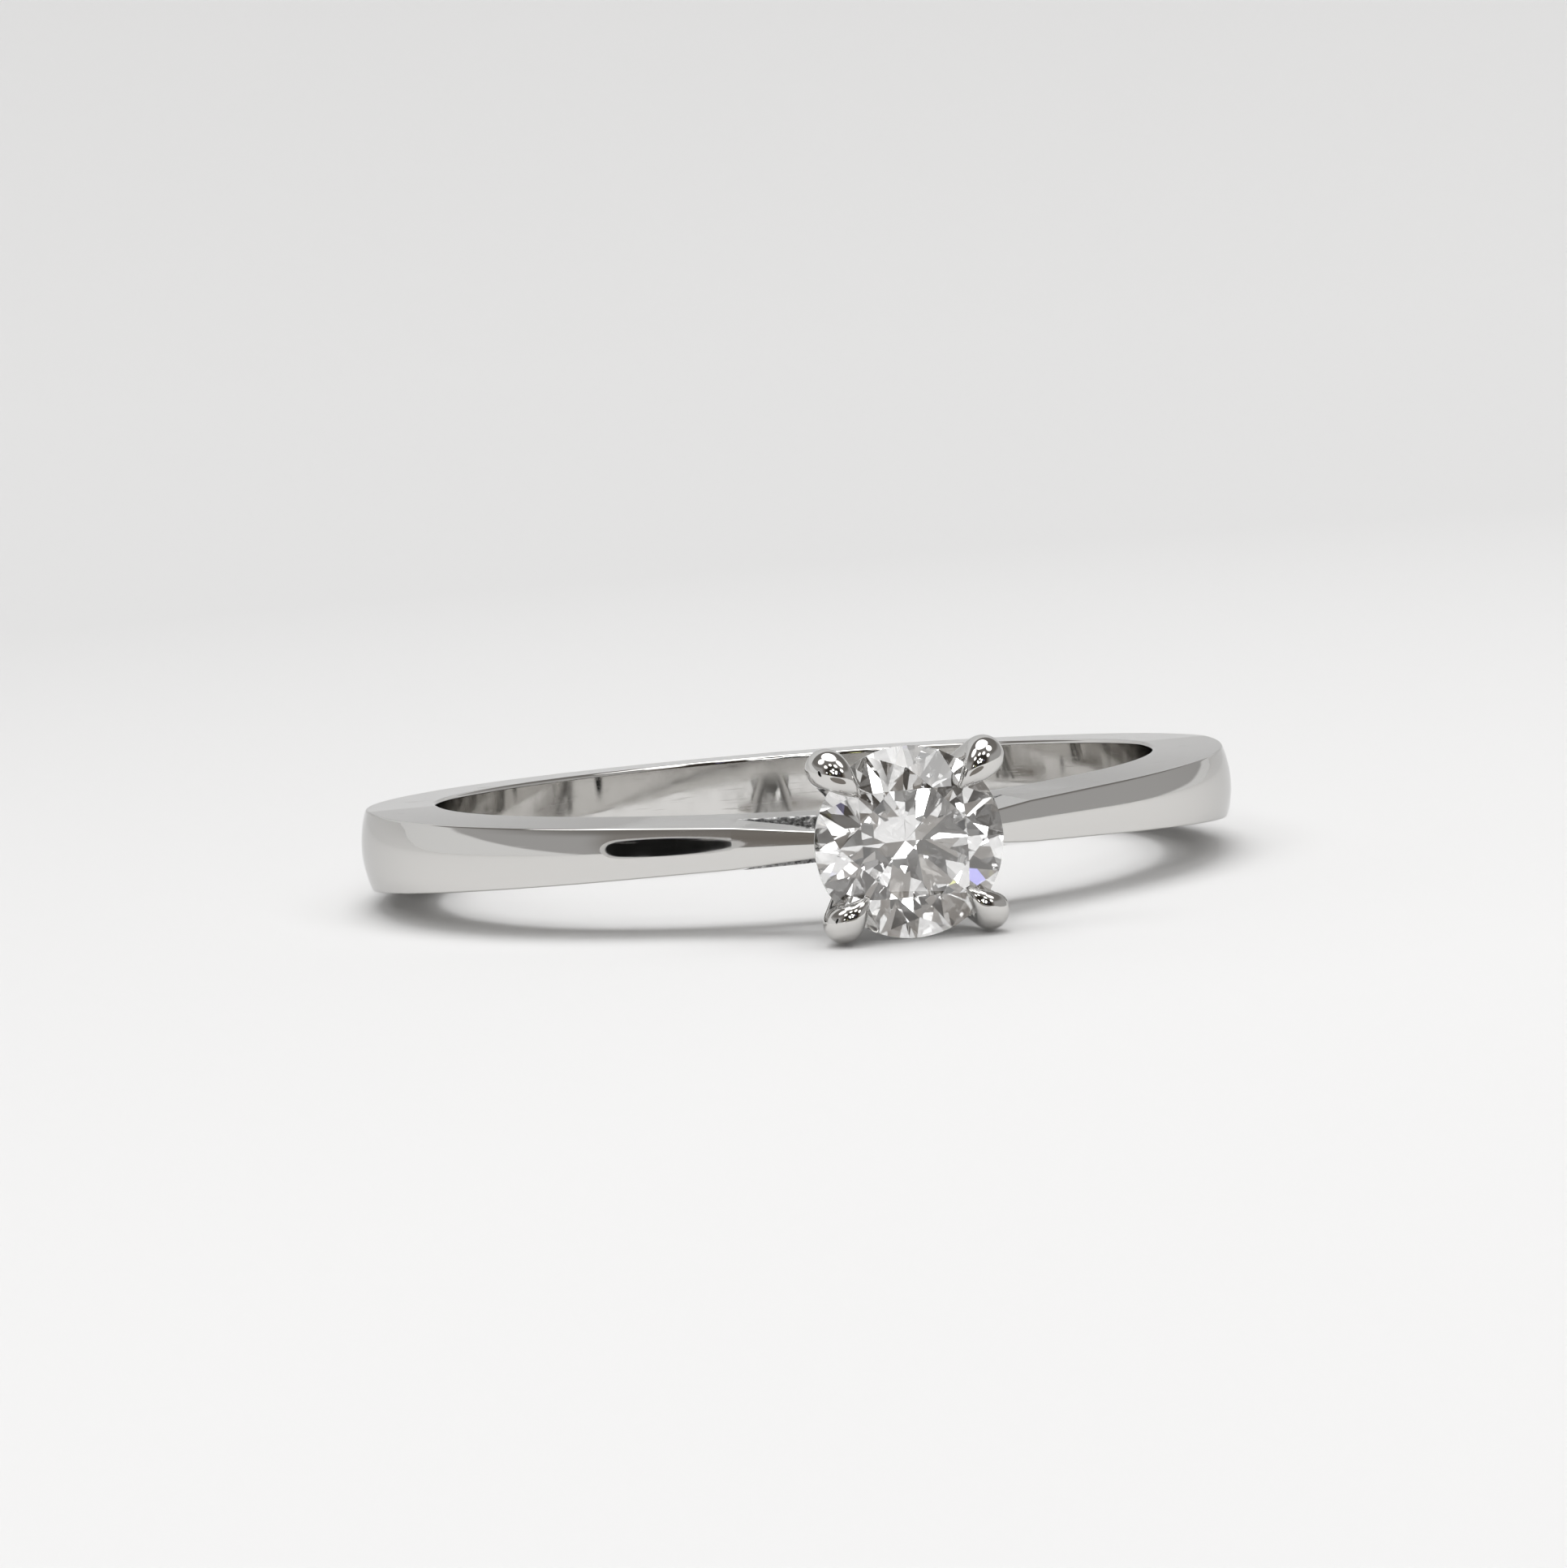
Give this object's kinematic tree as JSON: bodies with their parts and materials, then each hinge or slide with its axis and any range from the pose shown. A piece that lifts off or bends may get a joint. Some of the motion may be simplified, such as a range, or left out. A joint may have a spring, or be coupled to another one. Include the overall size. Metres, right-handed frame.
{
  "type": "engagement ring",
  "caption": "Finger ring with a round brilliant stone held by talon claws above tapering cathedral shoulders, in polished white metal.",
  "frame": {"origin": "centre of the finger hole, half way across the band", "axes": "+Z along the finger, -Y towards the stone, +X to the right seen from the stone"},
  "size_m": [0.0202, 0.0235, 0.0041],
  "materials": {
    "white_metal": "mirror-polished platinum with fine wear scratches",
    "diamond": "faceted colourless diamond, refractive index 2.42"
  },
  "bodies": {
    "root": {"shank": "white_metal", "bridge": "white_metal", "left_shoulder": "white_metal", "right_shoulder": "white_metal", "collet": "white_metal", "claw_upper_left": "white_metal", "claw_upper_right": "white_metal", "claw_lower_left": "white_metal", "claw_lower_right": "white_metal", "diamond": "diamond"}
  },
  "joints": []
}
